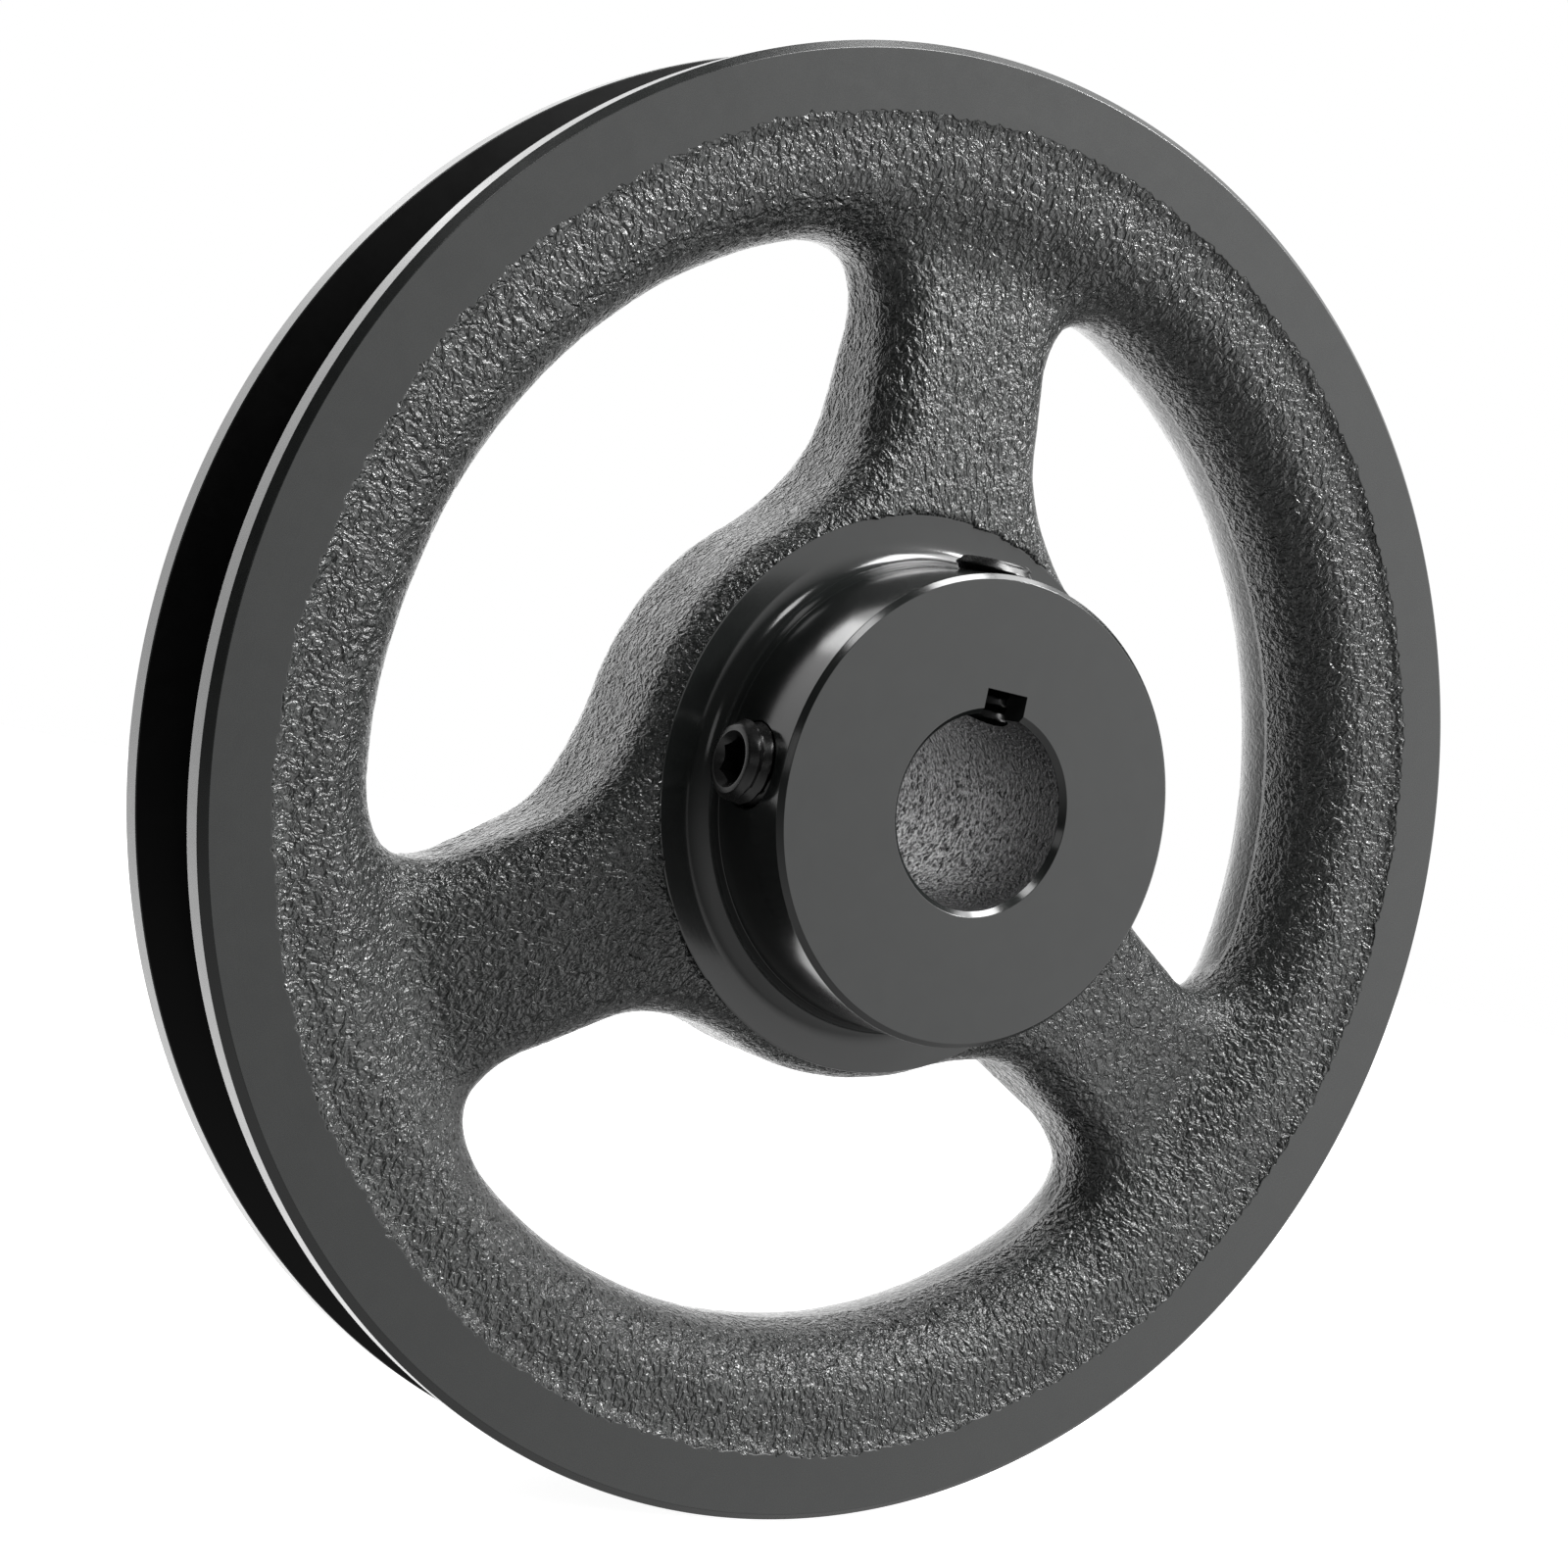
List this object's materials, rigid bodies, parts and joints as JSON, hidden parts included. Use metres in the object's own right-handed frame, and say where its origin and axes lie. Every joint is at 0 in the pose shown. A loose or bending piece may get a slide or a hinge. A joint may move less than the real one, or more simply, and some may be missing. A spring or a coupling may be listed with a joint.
{
  "type": "v belt pulley",
  "caption": "Single-groove cast-iron V belt pulley with arms, a turned hub that stands out at the front, a keyed bore and set screws.",
  "frame": {"origin": "on the bore's axis, in the middle plane of the belt groove", "axes": "+Y along the bore's axis towards the rear face, with the hub's front face towards -Y; +Z through the keyway, with the middle of one arm 0.8 degrees round from it, towards -X"},
  "size_m": [0.146, 0.0317, 0.146],
  "materials": {
    "cast_iron": "dark grey semi-gloss over rough cast skin, with turned rim faces, groove and hub",
    "black_steel": "black oxide"
  },
  "bodies": {
    "pulley": {"pulley": "cast_iron"},
    "side_set_screw": {"side_set_screw": "black_steel"},
    "keyway_set_screw": {"keyway_set_screw": "black_steel"}
  },
  "joints": [
    {"name": "side_screw_travel", "type": "slide", "parent": "pulley", "child": "side_set_screw", "axis": [1, 0, 0], "range_m": [-0.0077, 0.0027]},
    {"name": "keyway_screw_travel", "type": "slide", "parent": "pulley", "child": "keyway_set_screw", "axis": [0, 0, -1], "range_m": [-0.0054, 0.003]}
  ]
}
